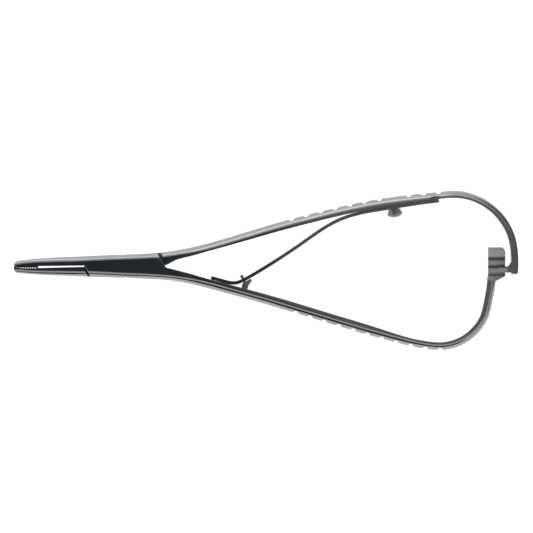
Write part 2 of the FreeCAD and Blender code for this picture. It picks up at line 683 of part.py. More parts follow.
def spring_screw(shape):
    """Screw with a collar and a domed, slotted head."""
    seat, along, inward = inner_place(shape.up, shape.upper_law, SCREW_STATION)
    seat = seat + Vector(0, 0, BODY_WIDTH / 2)
    start = LEAF_SEAT_GAP + LEAF_THICKNESS + LEAF_SEAT_GAP
    collar = start + SCREW_COLLAR_HEIGHT
    top = collar + SCREW_HEAD_HEIGHT
    up = Vector(0, 0, 1)

    def at(radius, height):
        return seat + up * radius + inward * height

    collar_r, head_r = SCREW_COLLAR / 2, SCREW_HEAD / 2
    rim = collar + SCREW_HEAD_HEIGHT * 0.35
    profile = [at(0, start), at(collar_r, start), at(collar_r, collar), at(head_r - 0.1, collar),
               at(head_r, collar + 0.1), at(head_r, rim)]
    for degrees in (22.5, 45.0, 67.5, 90.0):
        across, over = on_circle(1.0, degrees)
        profile.append(at(head_r * across, rim + (top - rim) * over))
    profile[-1] = at(0, top)
    head = Part.Face(Part.makePolygon(profile + profile[:1])).revolve(seat, inward, 360)
    half = SCREW_SLOT_WIDTH / 2
    floor = top - SCREW_SLOT_DEPTH
    corners = [seat - up * half + along * a + inward * h
               for a, h in ((-4, floor), (4, floor), (4, top + 1), (-4, top + 1))]
    slot = Part.Face(Part.makePolygon(corners + corners[:1])).extrude(up * SCREW_SLOT_WIDTH)
    head = head.cut(slot)
    return head.fuse(screw_cylinder(shape, 0.0, start + 0.3)).removeSplitter()


def keeper_peg(shape):
    seat, _, inward = inner_place(shape.low, shape.lower_law, KEEPER_STATION + 0.3)
    base = seat - inward * KEEPER_PEG_DEPTH + Vector(0, 0, BODY_WIDTH / 2)
    return Part.makeCylinder(KEEPER_PEG / 2, KEEPER_PEG_DEPTH + 0.5, base, inward)


def spring_keeper(shape, leaf):
    """Hook on the lower handle: a post, a face under the leaf, a neck and a cross head over it."""
    seat, along, inward = inner_place(shape.low, shape.lower_law, KEEPER_STATION + 0.3)
    neck_at, way, over = leaf.place(leaf.station_at(KEEPER_STATION))
    clear = leaf.half + KEEPER_GAP
    middle = BODY_WIDTH / 2
    left = neck_at - over * clear - way * (KEEPER_NECK / 2 + 0.3)
    right = left + way * KEEPER_TOP
    lift = inward * 0.02
    base = [seat - along * (KEEPER_POST / 2) + lift, seat + along * (KEEPER_POST / 2) + lift]
    knee = base[1] + inward * 1.3
    ear = right - over * 0.8 + way * 0.15
    corners = [base[0], base[1], knee, ear, right, left]
    points = [(p.x, p.y) for p in corners]
    post = prism(lines(points + points[:1]), middle - KEEPER_THICKNESS / 2, middle + KEEPER_THICKNESS / 2)
    half_neck = way * (KEEPER_NECK / 2)
    neck_low, neck_high = neck_at - over * (clear + 0.3), neck_at + over * (clear + 0.3)
    neck_points = [neck_low - half_neck, neck_low + half_neck, neck_high + half_neck, neck_high - half_neck]
    neck_points = [(p.x, p.y) for p in neck_points]
    half = KEEPER_THICKNESS / 2
    neck = prism(lines(neck_points + neck_points[:1]), middle - half, middle + half)
    knob = neck_at + over * (clear + KEEPER_KNOB / 2)
    length = LEAF_SLOT_WIDTH + KEEPER_KNOB
    head = Part.makeCylinder(KEEPER_KNOB / 2, length, knob + Vector(0, 0, middle - length / 2))
    return post.fuse([neck, head, keeper_peg(shape)]).removeSplitter()


def build():
    """Every piece of the instrument, by name."""
    shape = Outline()
    leaf = Leaf(shape)
    female, block_side = box_half(shape)
    female = female.cut(keeper_peg(shape))
    male = shank_half(shape, block_side)
    male = male.cut([screw_cylinder(shape, 0.0)] + leaf.ears(EAR_GAP))
    return {
        "box_half": female,
        "shank_half": male,
        "pivot_pin": pin_cylinder(0.0),
        "leaf_spring": leaf_spring(shape, leaf),
        "spring_screw": spring_screw(shape),
        "spring_keeper": spring_keeper(shape, leaf),
    }


if __name__ == "__main__":
    os.makedirs("parts", exist_ok=True)
    for name, solid in build().items():
        solid.exportStep("parts/" + name + ".step")
        print(name, solid.isValid(), len(solid.Solids), round(solid.Volume, 2))
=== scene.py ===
# %% [markdown]
# # A needle holder in satin steel
# The real instrument is about 17 cm long: two steel forgings that cross in a box lock, a leaf
# spring between their handles, and a hook ratchet at the end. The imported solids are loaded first,
# because every piece made here has to lie where they lie. One unit is a metre.

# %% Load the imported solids
import bmesh
import bpy
import json
import math
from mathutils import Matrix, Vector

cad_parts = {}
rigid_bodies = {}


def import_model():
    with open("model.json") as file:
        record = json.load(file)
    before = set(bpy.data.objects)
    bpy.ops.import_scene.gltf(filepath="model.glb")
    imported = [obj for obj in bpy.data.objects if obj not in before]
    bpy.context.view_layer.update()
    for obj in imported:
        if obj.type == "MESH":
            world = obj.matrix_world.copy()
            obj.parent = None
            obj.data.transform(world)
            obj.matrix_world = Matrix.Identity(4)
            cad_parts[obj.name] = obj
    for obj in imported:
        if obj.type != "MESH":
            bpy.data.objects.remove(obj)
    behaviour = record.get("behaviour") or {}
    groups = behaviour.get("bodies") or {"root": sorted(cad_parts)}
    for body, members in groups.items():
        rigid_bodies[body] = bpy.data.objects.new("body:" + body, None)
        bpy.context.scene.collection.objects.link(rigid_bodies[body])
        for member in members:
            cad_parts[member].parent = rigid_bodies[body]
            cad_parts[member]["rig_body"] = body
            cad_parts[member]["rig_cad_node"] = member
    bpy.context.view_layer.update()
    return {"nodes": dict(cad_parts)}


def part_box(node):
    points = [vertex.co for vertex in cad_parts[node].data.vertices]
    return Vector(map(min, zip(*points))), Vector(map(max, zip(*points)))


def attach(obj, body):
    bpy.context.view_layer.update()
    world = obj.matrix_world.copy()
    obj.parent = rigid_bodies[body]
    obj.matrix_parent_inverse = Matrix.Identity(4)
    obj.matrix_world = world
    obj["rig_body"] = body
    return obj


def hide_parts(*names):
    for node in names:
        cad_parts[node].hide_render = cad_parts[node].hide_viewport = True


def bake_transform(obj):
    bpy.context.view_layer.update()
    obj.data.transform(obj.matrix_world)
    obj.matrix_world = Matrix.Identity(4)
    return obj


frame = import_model()
MM = 0.001

# %% [markdown]
# An operator acts on whatever is selected, and the import leaves all the solids selected. Three
# small helpers make one piece the only one that is worked on, pick some of its edges or faces by a
# test, and say what it has become.

# %% Helpers for selecting and measuring
def pick_only(piece):
    if bpy.context.object and bpy.context.object.mode != "OBJECT":
        bpy.ops.object.mode_set(mode="OBJECT")
    bpy.ops.object.select_all(action="DESELECT")
    piece.select_set(True)
    bpy.context.view_layer.objects.active = piece


def pick_parts(piece, kind, chosen):
    """Go into edit mode with only the edges or faces selected that a test picks."""
    pick_only(piece)
    bpy.ops.object.mode_set(mode="EDIT")
    bpy.ops.mesh.select_mode(type=kind)
    bpy.ops.mesh.select_all(action="DESELECT")
    mesh = bmesh.from_edit_mesh(piece.data)
    count = 0
    for part in mesh.edges if kind == "EDGE" else mesh.faces:
        if chosen(part):
            part.select_set(True)
            count += 1
    bmesh.update_edit_mesh(piece.data)
    return count


def report(piece):
    size = piece.dimensions / MM
    print(piece.name, len(piece.data.polygons), "faces,", " x ".join(f"{v:.2f}" for v in size), "mm")


# %% [markdown]
# Both halves of the real instrument are drop forgings. Their flats are ground, their crowned outer
# sides are ground by eye, and a polishing wheel then softens every edge. The solids already have the
# ground shape in narrow flats, so a copy of each is merged into whole faces, and its long edges get
# the round that the wheel leaves. Shading the narrow flats smooth turns them back into one crown.

# %% Copy a solid and merge its loose triangles
MERGE_REACH = 0.02 * MM
SAME_FLAT = math.radians(0.4)


def solid_copy(node, name):
    source = frame["nodes"][node]
    pick_only(source)
    bpy.ops.object.duplicate()
    piece = bpy.context.object
    piece.name = name
    piece.data.name = name
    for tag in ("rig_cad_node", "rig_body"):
        del piece[tag]
    piece.parent = None
    bpy.ops.object.mode_set(mode="EDIT")
    bpy.ops.mesh.select_all(action="SELECT")
    bpy.ops.mesh.customdata_custom_splitnormals_clear()
    bpy.ops.mesh.remove_doubles(threshold=MERGE_REACH)
    bpy.ops.mesh.dissolve_limited(angle_limit=SAME_FLAT)
    bpy.ops.mesh.select_all(action="DESELECT")
    bpy.ops.object.mode_set(mode="OBJECT")
    report(piece)
    return piece


box_forging = solid_copy("box_half", "box_forging")
shank_forging = solid_copy("shank_half", "shank_forging")

# %% [markdown]
# Which edge gets which round is read from the two faces that meet there: a flat side looks straight
# up or down, a wall looks sideways, and the crown leans in between. Only convex edges are rounded,
# since a grinding wheel doesn't reach into a corner.

# %% Tests for the edges of the forgings
MIDDLE = 3.1 * MM                     # height of the middle plane, half of the thickness
BOX_REACH = 16 * MM                   # the box ends before this X, on both sides of the pin
END_REACH = 119 * MM                  # the handles' inner edges end before this X
PIN_REACH = 1.6 * MM
IS_FLAT, IS_WALL = 0.98, 0.2          # how upright a flat side is at least, and a wall at most
CROWN_LEAN = (0.45, 0.9)
BOX_END_LENGTH = 1.2 * MM
BOX_END_FROM = 5 * MM
SIDE_HEIGHT = 2.5 * MM                # the flat sides lie further than this from the middle plane
END_FACING = 0.6
FORGED_TURN = 33                      # degrees between two faces from which an edge is sharp


def turn(edge):
    one, two = (face.normal for face in edge.link_faces)
    return math.degrees(one.angle(two, 0))


def leans(edge):
    """How upright the two faces at an edge are: 1 for a flat side, 0 for a wall."""
    one, two = (abs(face.normal.z) for face in edge.link_faces)
    return max(one, two), min(one, two)


def middle_of(edge):
    return (edge.verts[0].co + edge.verts[1].co) / 2


def is_crown_edge(edge):
    """The edge between a flat side and the crown."""
    high, low = leans(edge)
    return high > IS_FLAT and CROWN_LEAN[0] < low < CROWN_LEAN[1]


def is_inner_edge(edge):
    """The edge between a flat side and the inner wall of a handle."""
    high, low = leans(edge)
    return BOX_REACH < middle_of(edge).x < END_REACH and high > IS_FLAT and low < IS_WALL


def is_box_end_edge(edge):
    """The long slanted edges at both ends of the box, on its flat sides."""
    high, low = leans(edge)
    middle = middle_of(edge)
    wall = min(edge.link_faces, key=lambda face: abs(face.normal.z)).normal
    on_side = abs(middle.z - MIDDLE) > SIDE_HEIGHT and BOX_END_FROM < abs(middle.x) < BOX_REACH
    across = abs(wall.x) > END_FACING and edge.calc_length() > BOX_END_LENGTH
    return on_side and across and high > IS_FLAT and low < IS_WALL


def is_sharp(edge):
    """Sharp edges, apart from the rim of the pin: it is ground flush, and its seam can't be seen."""
    middle = middle_of(edge)
    return turn(edge) > FORGED_TURN and math.hypot(middle.x, middle.y) > PIN_REACH


# %% [markdown]
# The shank's full thickness begins at a shoulder beside each end of the box. On the real lock the
# shoulders are milled back at a slant, so that dirt can be rinsed out, and they look like thin dark
# wedges beside the box. A tilted bar is cut away at each shoulder, twice, once for each flat side.

# %% Mill the shoulders of the shank
TONGUE_HALF = 1.02 * MM
BAR_WIDTH, BAR_LENGTH, BAR_HEIGHT = 3 * MM, 9 * MM, 4 * MM
# foot of the shoulder (mm), heading of its edge and lean of its face (degrees), side it faces
REAR_SHOULDER = ((13.62, 0.5), 20.3, 12.1, 1)
FRONT_SHOULDER = ((-13.58, -0.22), 22.0, 7.0, -1)


def mill_shoulder(piece, foot, heading, lean, towards, side):
    """Cut with a bar whose lower edge lies on the shoulder's foot and whose face leans back."""
    bpy.ops.object.select_all(action="DESELECT")
    bpy.ops.mesh.primitive_cube_add(size=1, location=(-towards * BAR_WIDTH / 2, 0, side * BAR_HEIGHT / 2))
    bar = bpy.context.object
    bar.scale = (BAR_WIDTH, BAR_LENGTH, BAR_HEIGHT)
    bpy.ops.object.transform_apply(location=True, rotation=True, scale=True)
    bar.rotation_euler = (0, math.radians(towards * side * lean), math.radians(heading))
    bar.location = (foot[0] * MM, foot[1] * MM, MIDDLE + side * TONGUE_HALF)
    cut = piece.modifiers.new("shoulder", "BOOLEAN")
    cut.operation = "DIFFERENCE"
    cut.object = bar
    pick_only(piece)
    bpy.ops.object.modifier_apply(modifier="shoulder")
    bpy.data.objects.remove(bar)


for side in (1, -1):
    mill_shoulder(shank_forging, *REAR_SHOULDER, side)
    mill_shoulder(shank_forging, *FRONT_SHOULDER, side)
report(shank_forging)

# %% [markdown]
# The crown's round is wide on the jaws and the box and slimmer along the handles. A Bevel modifier
# can read a weight from each edge, so one pass gives every edge its own width, and the widths run
# into each other without a step. A bevel that wide can leave slivers, which are dissolved.

# %% Round the crown, each edge by its own width
CROWN_ROUND = 0.85 * MM
HANDLE_ROUND = 0.5 * MM
SLIM_FROM, SLIM_TO = 8 * MM, 30 * MM
BOX_END_ROUND = 0.32 * MM
CROWN_SEGMENTS = 6
SLIVER = 0.004 * MM


def crown_width(edge):
    share = min(max((middle_of(edge).x - SLIM_FROM) / (SLIM_TO - SLIM_FROM), 0), 1)
    return CROWN_ROUND + (HANDLE_ROUND - CROWN_ROUND) * share


def round_crown(piece):
    """Round the crown's edges, and the box's slanted ends, each edge by its own width."""
    mesh = bmesh.new()
    mesh.from_mesh(piece.data)
    weight = mesh.edges.layers.float.new("bevel_weight_edge")
    for edge in mesh.edges:
        if len(edge.link_faces) == 2 and edge.is_convex:
            if is_crown_edge(edge):
                edge[weight] = crown_width(edge) / CROWN_ROUND
            elif piece is box_forging and is_box_end_edge(edge):
                edge[weight] = BOX_END_ROUND / CROWN_ROUND
    count = sum(edge[weight] > 0 for edge in mesh.edges)
    mesh.to_mesh(piece.data)
    mesh.free()
    pick_only(piece)
    bevel = piece.modifiers.new("crown", "BEVEL")
    bevel.limit_method = "WEIGHT"
    bevel.width = CROWN_ROUND
    bevel.segments = CROWN_SEGMENTS
    bevel.use_clamp_overlap = False
    bpy.ops.object.modifier_apply(modifier="crown")
    pick_parts(piece, "FACE", lambda face: True)
    bpy.ops.mesh.dissolve_degenerate(threshold=SLIVER)
    bpy.ops.object.mode_set(mode="OBJECT")
    piece.data.attributes.remove(piece.data.attributes["bevel_weight_edge"])
    print(piece.name, "crown", count, "edges rounded by up to", round(CROWN_ROUND / MM, 2), "mm")


# %% [markdown]
# The other rounds are even along their length, so they are made in edit mode. A large flat side
# would be shaded as if it leaned, because its corners share their shading with the rounds. A
# hair-thin border keeps that to itself. The flat side runs on into the handle, so it is first cut
# across where the box ends, and only the box's part gets the border.

# %% Helpers for even rounds, flat sides and shading
INNER_ROUND = 0.16 * MM
FINE_ROUND = 0.07 * MM
FLAT_BORDER = 0.06 * MM
LARGE_FLAT, BOX_FLAT = 20 * MM ** 2, 60 * MM ** 2    # areas that tell the flat sides from small faces
SMOOTH_ANGLE = math.radians(35)


def round_edges(piece, what, chosen, width, segments):
    count = pick_parts(piece, "EDGE", lambda e: len(e.link_faces) == 2 and e.is_convex and chosen(e))
    bpy.ops.mesh.bevel(offset=width, segments=segments, profile=0.5, clamp_overlap=True,
                       affect="EDGES", offset_type="OFFSET")
    bpy.ops.mesh.select_all(action="DESELECT")
    bpy.ops.object.mode_set(mode="OBJECT")
    print(piece.name, what, count, "edges rounded by", round(width / MM, 2), "mm")


def hold_flats(piece):
    """Give each flat side of the box a hair-thin border, so that it is shaded as a true flat."""
    for side in (1, -1):
        pick_parts(piece, "FACE", lambda face: face.normal.z * side > 0.99 and face.calc_area() > LARGE_FLAT)
        bpy.ops.mesh.bisect(plane_co=(BOX_REACH, 0, 0), plane_no=(1, 0, 0))
    count = pick_parts(piece, "FACE", lambda face: abs(face.normal.z) > 0.99
                       and face.calc_area() > BOX_FLAT and face.calc_center_median().x < BOX_REACH)
    bpy.ops.mesh.inset(thickness=FLAT_BORDER)
    bpy.ops.object.mode_set(mode="OBJECT")
    print(piece.name, count, "flats held")


def shade(piece):
    pick_only(piece)
    bpy.ops.object.shade_smooth_by_angle(angle=SMOOTH_ANGLE)
    report(piece)


# %% [markdown]
# The polisher works from the widest round to the finest, and so does this: the crown first, then
# the inner edges of the handles, and last a light touch on every edge that is still sharp.

# %% Polish both forgings
for forging in (box_forging, shank_forging):
    round_crown(forging)
    if forging is box_forging:
        hold_flats(forging)
    round_edges(forging, "inner edge", is_inner_edge, INNER_ROUND, 3)
    round_edges(forging, "fine edge", is_sharp, FINE_ROUND, 2)
    shade(forging)

# %% [markdown]
# The leaf spring is blanked from strip, then tumbled, which rounds its long edges a little. It bends
# when the handles move, and a mesh can only bend where it has edges, so the strip is cut across
# every two millimetres. The screw pulls it hard against the upper handle, and its own force presses
# its foot on the lower one, so both ends are moved towards the steel. The foot is moved in two
# steps, which spreads the bend between them over a few millimetres.

# %% Leaf spring
LEAF_ROUND = 0.16 * MM
LEAF_STEP = 2 * MM
CUT_TURN = 40                         # degrees between two faces from which a cut edge is sharp
SEAT_FROM, SEAT_SHIFT = 80 * MM, (-0.006, 0.043)
FOOT_FADE, FOOT_TO, FOOT_SHIFT = 39 * MM, 36 * MM, (-0.011, -0.043)


def is_cut_edge(edge):
    return turn(edge) > CUT_TURN


def shift_leaf(chosen, shift):
    """Move the part of the strip whose faces a test picks by their place along X."""
    count = pick_parts(leaf_strip, "FACE", lambda face: chosen(face.calc_center_median().x))
    bpy.ops.transform.translate(value=(shift[0] * MM, shift[1] * MM, 0))
    print(leaf_strip.name, count, "faces moved by", shift, "mm")


leaf_strip = solid_copy("leaf_spring", "leaf_strip")
round_edges(leaf_strip, "blanked edge", is_cut_edge, LEAF_ROUND, 3)
low_corner, high_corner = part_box("leaf_spring")
cut_at = low_corner[0] + LEAF_STEP
while cut_at < high_corner[0] - LEAF_STEP / 2:
    pick_parts(leaf_strip, "FACE", lambda face: True)
    bpy.ops.mesh.bisect(plane_co=(cut_at, 0, 0), plane_no=(1, 0, 0))
    cut_at += LEAF_STEP
shift_leaf(lambda x: x > SEAT_FROM, SEAT_SHIFT)
shift_leaf(lambda x: x < FOOT_FADE, FOOT_SHIFT)
shift_leaf(lambda x: x < FOOT_TO, FOOT_SHIFT)
bpy.ops.object.mode_set(mode="OBJECT")
shade(leaf_strip)

# %% [markdown]
# The small hook that keeps the leaf's foot in place is filed by hand, so its corners are softer than
# those of the machined pieces.

# %% Keeper of the leaf spring
KEEPER_ROUND = 0.18 * MM

keeper_hook = solid_copy("spring_keeper", "keeper_hook")
round_edges(keeper_hook, "filed edge", is_cut_edge, KEEPER_ROUND, 3)
shade(keeper_hook)

# %% [markdown]
# The screw is turned on a lathe, so it is built up as it would be turned: a cylinder is the collar,
# and its top face is pulled up and widened step by step into a waist, a rim and a domed head. It is
# made upright at the origin, where every step is a plain move along its axis.

# %% Turn the screw
LEAF_TOP = 1.25 * MM                  # height of the collar's foot over the handle
COLLAR_RADIUS, COLLAR_HEIGHT = 2.1 * MM, 0.8 * MM
WAIST_RADIUS, WAIST_HEIGHT = 2.02 * MM, 0.1 * MM
HEAD_RADIUS, RIM_HEIGHT, DOME_HEIGHT = 2.55 * MM, 0.56 * MM, 1.3 * MM
RIM_CHAMFER, CHAMFER_RISE, HEAD_UNDERSIDE = 0.12 * MM, 0.1 * MM, 0.02 * MM
SHANK_RADIUS, SHANK_DEPTH = 1.25 * MM, 3.05 * MM
DOME_STEPS = 7


def pull(rise, widen):
    """Extrude the selected face along the axis, then widen or narrow it about the axis."""
    bpy.ops.mesh.extrude_region_move(TRANSFORM_OT_translate={"value": (0, 0, rise)})
    bpy.ops.transform.resize(value=(widen, widen, 1), center_override=(0, 0, 0))


bpy.ops.object.select_all(action="DESELECT")
bpy.ops.mesh.primitive_cylinder_add(vertices=64, radius=COLLAR_RADIUS, depth=COLLAR_HEIGHT,
                                    location=(0, 0, LEAF_TOP + COLLAR_HEIGHT / 2))
screw = bpy.context.object
screw.name = "slotted_screw"
bpy.ops.object.transform_apply(location=True, rotation=True, scale=True)
pick_parts(screw, "FACE", lambda face: face.normal.z < -0.9)
bpy.ops.mesh.inset(thickness=COLLAR_RADIUS - SHANK_RADIUS)
pull(-SHANK_DEPTH, 1)
pick_parts(screw, "FACE", lambda face: face.normal.z > 0.9)
bpy.ops.mesh.inset(thickness=COLLAR_RADIUS - WAIST_RADIUS)
pull(WAIST_HEIGHT, 1)
pull(HEAD_UNDERSIDE, (HEAD_RADIUS - RIM_CHAMFER) / WAIST_RADIUS)
pull(CHAMFER_RISE, HEAD_RADIUS / (HEAD_RADIUS - RIM_CHAMFER))
pull(RIM_HEIGHT - WAIST_HEIGHT, 1)
for i in range(DOME_STEPS):
    here = math.pi / 2 * i / (DOME_STEPS + 0.5)
    there = math.pi / 2 * (i + 1) / (DOME_STEPS + 0.5)
    pull(DOME_HEIGHT * (math.sin(there) - math.sin(here)), math.cos(there) / math.cos(here))
bpy.ops.object.mode_set(mode="OBJECT")
report(screw)

# %% [markdown]
# A saw cuts the slot for the screwdriver, and the burr it leaves is broken off. The slot is a Boolean
# cut with a bar, and the broken edges are a Bevel modifier that picks sharp edges by their angle. The
# finished screw is then turned on its side and laid on its seat, because a piece keeps its own
# origin at zero and carries its place in the mesh. Its box is compared with that of the solid.

# %% Cut its slot, break its edges and lay it in place
SLOT_WIDTH, SLOT_DEPTH = 0.7 * MM, 0.9 * MM
SEAT_X, SEAT_Y, SEAT_LEAN = 90.9 * MM, 20.495 * MM, 7.65

screw_top = max(corner.co.z for corner in screw.data.vertices)
bpy.ops.object.select_all(action="DESELECT")
bpy.ops.mesh.primitive_cube_add(size=1, location=(0, 0, screw_top))
cutter = bpy.context.object
cutter.scale = (3 * HEAD_RADIUS, SLOT_WIDTH, 2 * SLOT_DEPTH)
cut = screw.modifiers.new("slot", "BOOLEAN")
cut.object = cutter
cut.operation = "DIFFERENCE"
edge_break = screw.modifiers.new("edges", "BEVEL")
edge_break.width = FINE_ROUND
edge_break.segments = 2
edge_break.limit_method = "ANGLE"
edge_break.angle_limit = math.radians(CUT_TURN)
pick_only(screw)
for modifier in ("slot", "edges"):
    bpy.ops.object.modifier_apply(modifier=modifier)
bpy.data.objects.remove(cutter)
screw.rotation_euler = (math.radians(90), 0, math.radians(SEAT_LEAN))
screw.location = (SEAT_X, SEAT_Y, (low_corner[2] + high_corner[2]) / 2)
bpy.ops.object.transform_apply(location=True, rotation=True, scale=True)
shade(screw)
for outermost, corner in zip((min, max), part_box("spring_screw")):
    made = [outermost(vertex.co[axis] for vertex in screw.data.vertices) for axis in range(3)]
    print("screw corner off the solid by", [round((a - b) / MM, 3) for a, b in zip(made, corner)], "mm")

# %% [markdown]
# Every new piece stands for a solid, which is hidden, and moves with its body; the slot named for
# its finish is listed but not read. The real leaf is held by the upper handle and slides on the lower
# one, so it bends between them. Here it joins neither body, and its place is baked into its mesh.

for piece, node, slot, body in ((box_forging, "box_half", "forged_steel", "box_body"),
                                (shank_forging, "shank_half", "forged_steel", "shank_body"),
                                (keeper_hook, "spring_keeper", "keeper_steel", "box_body"),
                                (screw, "spring_screw", "screw_steel", "shank_body"),
                                (leaf_strip, "leaf_spring", "spring_steel", None)):
    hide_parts(node)
    if body:
        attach(piece, body)
    print(piece.name, "stands for", node, "and moves with", body or "both bodies")
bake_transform(leaf_strip)

# %% [markdown]
# The steel is matt-polished stainless: a mirror under a very fine haze. Three things break up the
# mirror, at three scales. The hand-ground surface is a little wavy over some millimetres, the
# polishing brush leaves hair-fine strokes along the instrument, and the haze is denser in clouds.
# A material is a graph of small nodes, so these helpers each add one node and hand on its output.

# %% Small helpers for node materials
def noise_at(nodes, links, place, scale, detail, stretch=(1.0, 1.0, 1.0)):
    """A noise pattern in the object's own place, with its size stretched per axis."""
    mapping = nodes.new("ShaderNodeMapping")
    mapping.inputs["Scale"].default_value = stretch
    pattern = nodes.new("ShaderNodeTexNoise")
    pattern.inputs["Scale"].default_value = scale
    pattern.inputs["Detail"].default_value = detail
    links.new(place, mapping.inputs["Vector"])
    links.new(mapping.outputs["Vector"], pattern.inputs["Vector"])
    return pattern.outputs["Fac"]


def ranged(nodes, links, value, low, high, start=0.0, end=1.0, soft=True):
    """A value that goes from start to end as another goes from low to high."""
    node = nodes.new("ShaderNodeMapRange")
    node.interpolation_type = "SMOOTHSTEP" if soft else "LINEAR"
    for socket, number in (("From Min", low), ("From Max", high), ("To Min", start), ("To Max", end)):
        node.inputs[socket].default_value = number
    links.new(value, node.inputs["Value"])
    return node.outputs["Result"]


def math_of(nodes, links, operation, one, two):
    """One Math node: each of its two inputs is a number or a socket."""
    node = nodes.new("ShaderNodeMath")
    node.operation = operation
    for socket, value in zip(node.inputs, (one, two)):
        if isinstance(value, (int, float)):
            socket.default_value = value
        else:
            links.new(value, socket)
    return node.outputs["Value"]


def mix_of(nodes, links, kind, share, one, two, blend="MIX"):
    """One Mix node, of kind FLOAT or RGBA: one and two are plain values or sockets."""
    node = nodes.new("ShaderNodeMix")
    node.data_type = kind
    if kind == "RGBA":
        node.blend_type = blend
    sockets = [socket for socket in node.inputs if socket.enabled]
    for socket, value in zip(sockets, (share, one, two)):
        if isinstance(value, (int, float, tuple)):
            socket.default_value = value
        else:
            links.new(value, socket)
    return next(socket for socket in node.outputs if socket.enabled)


# %% [markdown]
# The ratchet block isn't polished after its teeth are cut, so the steel there is duller and paler
# than the rest of the same forging. Its teeth get painted shade, darkest at each root and paler up
# each flank. The change is soft, so it is part of the steel's own material and depends on the place
# on the instrument.

# %% Where the steel is left dull, and where the teeth get painted shade
BLOCK_LEFT, BLOCK_RIGHT = 120.2 * MM, 129.4 * MM
BLOCK_LOW, BLOCK_HIGH = -5.0 * MM, 8.0 * MM
SOFT_EDGE = 1.0 * MM
FIRST_CREST = 3.27 * MM
FIRST_ROOT = 1.99 * MM
TOOTH_PITCH = 2.65 * MM
FLANK = 1.3 * MM
ROOT_SHADE, FLANK_SHADE = 0.16, 0.78
CREST_BLUR = 0.1 * MM


def dull_and_shade_share(nodes, links, place):
    """1 on the ratchet block and the pawl, 0 elsewhere."""
    split = nodes.new("ShaderNodeSeparateXYZ")
    links.new(place, split.inputs[0])
    x, y = split.outputs["X"], split.outputs["Y"]
    share = ranged(nodes, links, x, BLOCK_LEFT, BLOCK_LEFT + SOFT_EDGE / 2)
    for value, low, high, start, end in ((x, BLOCK_RIGHT - SOFT_EDGE, BLOCK_RIGHT + SOFT_EDGE, 1, 0),
                                         (y, BLOCK_LOW - SOFT_EDGE, BLOCK_LOW + SOFT_EDGE, 0, 1),
                                         (y, BLOCK_HIGH - SOFT_EDGE, BLOCK_HIGH, 1, 0)):
        share = math_of(nodes, links, "MULTIPLY", share, ranged(nodes, links, value, low, high, start, end))
    return share, y


def tooth_shade(nodes, links, y):
    """Painted shade on the teeth: darkest at each root, paler up the flank that rises from it."""
    past_root = math_of(nodes, links, "SUBTRACT", y, FIRST_ROOT)
    in_pitch = math_of(nodes, links, "FLOORED_MODULO", past_root, TOOTH_PITCH)
    tone = ranged(nodes, links, in_pitch, 0.0, FLANK, ROOT_SHADE, FLANK_SHADE, soft=False)
    above_teeth = ranged(nodes, links, y, FIRST_CREST - CREST_BLUR, FIRST_CREST + CREST_BLUR)
    return mix_of(nodes, links, "FLOAT", above_teeth, tone, 1.0)


# %% [markdown]
# All the steels here are one metal with different finishes, so one function makes them, and only
# the colour, the roughness and the depth of the marks differ. Metallic is 1, and a bump stands in
# for marks too fine to model: one Bump node for the waviness feeds a second one for the strokes.

# %% Satin stainless steel
DULL_COLOUR = (0.88, 0.86, 0.86, 1.0)
DULL_ROUGHNESS = 0.64
FOOT_END, FOOT_BLEND, FOOT_SHADE = 46 * MM, 8 * MM, 0.45
CLOUD_SCALE, CLOUD_DETAIL, CLOUD_TONE = 150.0, 5.0, 0.92
CLOUD_FROM, CLOUD_TO = 0.32, 0.68
HAZE_FROM, HAZE_TO, HAZE_SPREAD = 0.3, 0.7, 0.15
WAVE_SCALE, WAVE_STRETCH = 420.0, (0.5, 1.0, 1.0)
STROKE_SCALE, STROKE_STRETCH = 5200.0, (0.14, 1.0, 1.0)
MARK_DETAIL, MARK_STRENGTH = 3.0, 0.6


